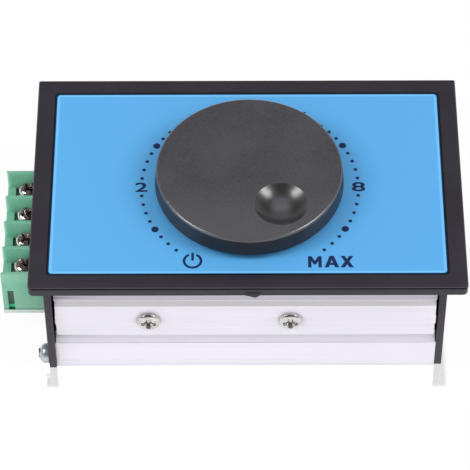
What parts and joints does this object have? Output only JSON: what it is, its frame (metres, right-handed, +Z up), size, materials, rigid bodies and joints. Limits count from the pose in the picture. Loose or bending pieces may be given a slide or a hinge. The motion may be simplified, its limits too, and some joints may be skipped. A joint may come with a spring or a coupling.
{
  "type": "dc motor speed controller",
  "caption": "Bench speed controller for dc motors: large dimpled knob on a blue face panel, stepped aluminium channel body and a green screw terminal block at one end.",
  "frame": {"origin": "middle of the channel's underside, where the controller stands", "axes": "+X along the case's length, away from the terminal block; +Y to the rear edge of the face panel; +Z up, along the knob's axis"},
  "size_m": [0.1326, 0.0777, 0.0503],
  "materials": {
    "black_plastic": "fine-grained satin",
    "knob_plastic": "satin",
    "label_film": "satin film",
    "brass": "machined",
    "steel": "machined",
    "plated_steel": "bright nickel plate",
    "extrusion": "clear-anodised, extrusion lines",
    "zinc_casting": "die-cast",
    "track_board": "phenolic",
    "switch_plastic": "moulded",
    "pad_rubber": "silicone",
    "epoxy": "moulded epoxy",
    "board_laminate": "solder resist",
    "green_plastic": "moulded, semi-gloss",
    "tinned_metal": "tin plate",
    "can_aluminium": "drawn",
    "sleeve_film": "shrink sleeve",
    "film_red": "moulded box",
    "sleeve_blue": "shrink sleeve",
    "ceramic": "dipped",
    "resistor_body": "lacquer",
    "nylon": "moulded nylon",
    "wire_red": "wire insulation",
    "solder": "solder"
  },
  "bodies": {
    "case": {"front_panel": "black_plastic", "face_label": "label_film", "pot_bushing": "zinc_casting", "pot_nut": "plated_steel", "pot_washer": "plated_steel", "pot_track": "track_board", "pot_lugs": "tinned_metal", "pot_can": "can_aluminium", "pot_switch": "switch_plastic", "switch_lugs": "tinned_metal", "channel": "extrusion", "left_end_plate": "black_plastic", "right_end_plate": "black_plastic", "left_plate_screws": "plated_steel", "right_plate_screws": "plated_steel", "device_screws": "plated_steel", "device_nuts": "plated_steel", "insulating_pads": "pad_rubber", "device_tabs": "tinned_metal", "device_bodies": "epoxy", "circuit_board": "board_laminate", "terminal_housing": "green_plastic", "terminal_contacts": "tinned_metal", "capacitor_cans": "can_aluminium", "capacitor_sleeves": "sleeve_film", "film_capacitor": "film_red", "control_chip": "epoxy", "chip_pins": "tinned_metal", "regulator": "epoxy", "small_capacitors": "sleeve_blue", "ceramic_capacitors": "ceramic", "resistors": "resistor_body", "component_leads": "tinned_metal", "wire_links": "tinned_metal", "board_headers": "nylon", "header_pins": "tinned_metal", "wire_plugs": "nylon", "pot_wires": "wire_red", "solder_joints": "solder"},
    "knob": {"speed_knob": "knob_plastic", "knob_sleeve": "brass", "pot_shaft": "steel", "pot_wiper": "track_board"},
    "clamp_1": {"clamp_plate_1": "plated_steel"},
    "screw_1": {"clamp_screw_1": "plated_steel"},
    "clamp_2": {"clamp_plate_2": "plated_steel"},
    "screw_2": {"clamp_screw_2": "plated_steel"},
    "clamp_3": {"clamp_plate_3": "plated_steel"},
    "screw_3": {"clamp_screw_3": "plated_steel"},
    "clamp_4": {"clamp_plate_4": "plated_steel"},
    "screw_4": {"clamp_screw_4": "plated_steel"}
  },
  "joints": [
    {"name": "knob_turn", "type": "hinge", "parent": "case", "child": "knob", "pos_m": [0.00124, -0.00173, 0.043], "axis": [0, 0, 1], "range_deg": [-4, 296]},
    {"name": "clamp_lift_1", "type": "slide", "parent": "case", "child": "clamp_1", "axis": [0, 0, 1], "range_m": [0, 0.0021]},
    {"name": "screw_turn_1", "type": "hinge", "parent": "clamp_1", "child": "screw_1", "pos_m": [-0.0638, -0.01505, 0.02], "axis": [0, 0, 1], "range_deg": [0, 1260]},
    {"name": "clamp_lift_2", "type": "slide", "parent": "case", "child": "clamp_2", "axis": [0, 0, 1], "range_m": [0, 0.0021]},
    {"name": "screw_turn_2", "type": "hinge", "parent": "clamp_2", "child": "screw_2", "pos_m": [-0.0638, -0.00555, 0.02], "axis": [0, 0, 1], "range_deg": [0, 1260]},
    {"name": "clamp_lift_3", "type": "slide", "parent": "case", "child": "clamp_3", "axis": [0, 0, 1], "range_m": [0, 0.0021]},
    {"name": "screw_turn_3", "type": "hinge", "parent": "clamp_3", "child": "screw_3", "pos_m": [-0.0638, 0.00395, 0.02], "axis": [0, 0, 1], "range_deg": [0, 1260]},
    {"name": "clamp_lift_4", "type": "slide", "parent": "case", "child": "clamp_4", "axis": [0, 0, 1], "range_m": [0, 0.0021]},
    {"name": "screw_turn_4", "type": "hinge", "parent": "clamp_4", "child": "screw_4", "pos_m": [-0.0638, 0.01345, 0.02], "axis": [0, 0, 1], "range_deg": [0, 1260]}
  ],
  "couplings": [
    {"joint": "screw_turn_1", "follows": "clamp_lift_1", "rad_per_m": 10472},
    {"joint": "screw_turn_2", "follows": "clamp_lift_2", "rad_per_m": 10472},
    {"joint": "screw_turn_3", "follows": "clamp_lift_3", "rad_per_m": 10472},
    {"joint": "screw_turn_4", "follows": "clamp_lift_4", "rad_per_m": 10472}
  ]
}
